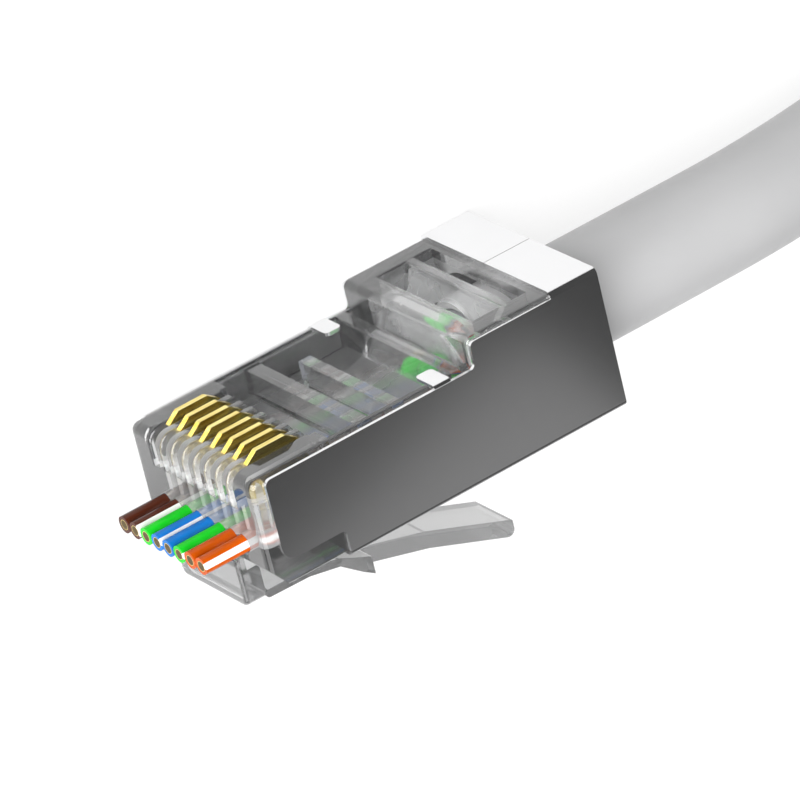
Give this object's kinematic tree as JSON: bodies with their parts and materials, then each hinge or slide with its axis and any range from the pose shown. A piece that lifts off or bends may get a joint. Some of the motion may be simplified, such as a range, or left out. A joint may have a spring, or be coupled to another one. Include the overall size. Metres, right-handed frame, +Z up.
{
  "type": "shielded modular plug",
  "caption": "Shielded modular network plug with a clear housing, gold blade contacts, a springy latch and a short length of cable whose wires pass out of its nose.",
  "frame": {"origin": "under the middle of the plug's box (without the cable), on the surface it rests on. The plug lies on its flat side, because it can't stand on its springy latch", "axes": "+Z up, across the contact row from way 8 to way 1; +Y from the nose to the cable; +X from the contact side to the latch side"},
  "size_m": [0.0143, 0.0785, 0.0116],
  "materials": {
    "clear_moulding": "clear, polished",
    "plated_sheet": "satin nickel plate",
    "gilt_contact": "gold plated",
    "copper": "bare copper",
    "cable_jacket": "smooth light grey",
    "foil": "thin foil",
    "divider": "milky",
    "tinned_copper": "tinned",
    "wire_orange_white": "smooth",
    "wire_orange": "smooth",
    "wire_green_white": "smooth",
    "wire_blue": "smooth",
    "wire_blue_white": "smooth",
    "wire_green": "smooth",
    "wire_brown_white": "smooth",
    "wire_brown": "smooth"
  },
  "bodies": {
    "plug": {"housing": "clear_moulding", "shield": "plated_sheet", "contact_1": "gilt_contact", "contact_2": "gilt_contact", "contact_3": "gilt_contact", "contact_4": "gilt_contact", "contact_5": "gilt_contact", "contact_6": "gilt_contact", "contact_7": "gilt_contact", "contact_8": "gilt_contact", "insulation_1": "wire_orange_white", "insulation_2": "wire_orange", "insulation_3": "wire_green_white", "insulation_4": "wire_blue", "insulation_5": "wire_blue_white", "insulation_6": "wire_green", "insulation_7": "wire_brown_white", "insulation_8": "wire_brown", "conductor_1": "copper", "conductor_2": "copper", "conductor_3": "copper", "conductor_4": "copper", "conductor_5": "copper", "conductor_6": "copper", "conductor_7": "copper", "conductor_8": "copper", "jacket": "cable_jacket", "foil_screen": "foil", "pair_divider": "divider", "drain_wire": "tinned_copper"},
    "latch": {"latch": "clear_moulding"}
  },
  "joints": [
    {"name": "latch_press", "type": "hinge", "parent": "plug", "child": "latch", "pos_m": [0.00215, -0.00996, 0.0058], "axis": [0, 0, 1], "range_deg": [0, 14], "stiffness_Nm_per_rad": 0.05}
  ]
}
